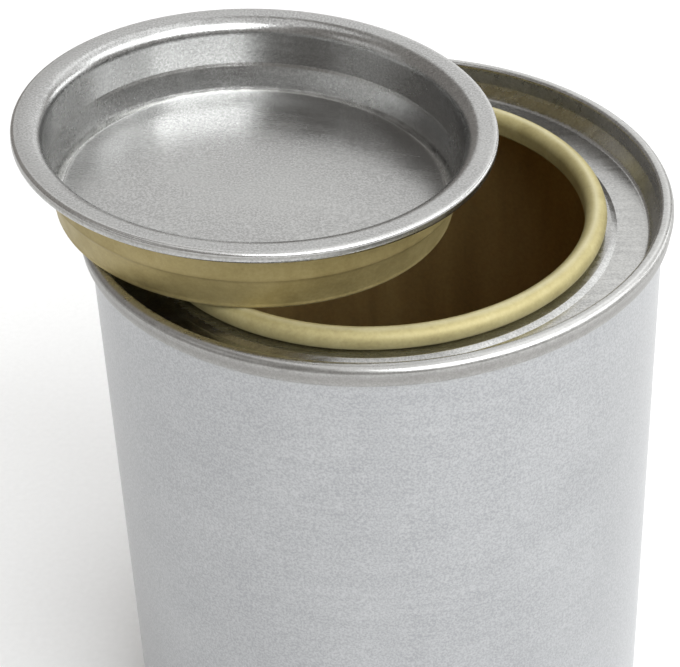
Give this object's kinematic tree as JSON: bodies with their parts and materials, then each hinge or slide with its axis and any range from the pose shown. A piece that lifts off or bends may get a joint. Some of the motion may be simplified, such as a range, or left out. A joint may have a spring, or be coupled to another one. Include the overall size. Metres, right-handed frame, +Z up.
{
  "type": "press-lid paint tin",
  "caption": "Round tinplate paint tin with double-seamed ends, a curled mouth and a press-in lid lying loose and tilted across it.",
  "frame": {"origin": "centre of the rim that the can stands on", "axes": "+Z up along the can's axis, -Y towards the side the picture is taken from, +X to its right"},
  "size_m": [0.0976, 0.089, 0.1224],
  "materials": {
    "body_tinplate": "bare tinplate with a fine rolled grain, gold lacquer inside",
    "bottom_tinplate": "bare tinplate, gold lacquer inside",
    "ring_tinplate": "bare tinplate above, gold lacquer on the mouth's curl and below",
    "sealing_compound": "matt grey lining compound",
    "lid_tinplate": "bare tinplate above, gold lacquer below"
  },
  "bodies": {
    "can": {"can_body": "body_tinplate", "bottom_end": "bottom_tinplate", "top_ring": "ring_tinplate", "bottom_compound": "sealing_compound", "top_compound": "sealing_compound"},
    "lid": {"lid": "lid_tinplate"}
  },
  "joints": [
    {"name": "lid_lift", "type": "slide", "parent": "can", "child": "lid", "axis": [0, 0, 1], "range_m": [0, 0.1]}
  ]
}
